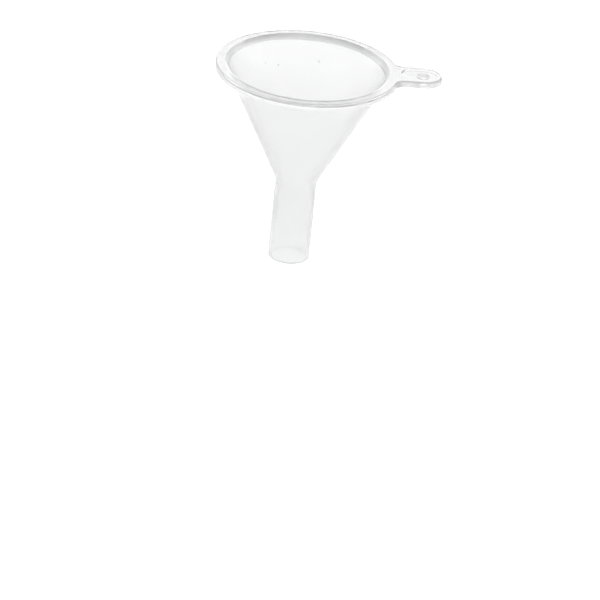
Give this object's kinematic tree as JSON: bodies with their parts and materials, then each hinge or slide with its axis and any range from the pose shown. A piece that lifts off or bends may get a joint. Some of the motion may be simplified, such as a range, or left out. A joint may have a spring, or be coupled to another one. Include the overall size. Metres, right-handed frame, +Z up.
{
  "type": "transfer funnel",
  "caption": "Small translucent plastic funnel with a flanged round mouth, a straight conical bowl, a thin straight spout and a recessed hang tab with a hole.",
  "frame": {"origin": "centre of the spout's open end", "axes": "+Z up along the funnel's axis, from the spout to the mouth; +X from the axis towards the hang tab"},
  "size_m": [0.0346, 0.028, 0.032],
  "materials": {
    "natural_polypropylene": "glossy translucent natural polypropylene, nearly clear in this thin wall"
  },
  "bodies": {
    "root": {"rim": "natural_polypropylene", "bowl": "natural_polypropylene", "spout": "natural_polypropylene", "hang_tab": "natural_polypropylene"}
  },
  "joints": []
}
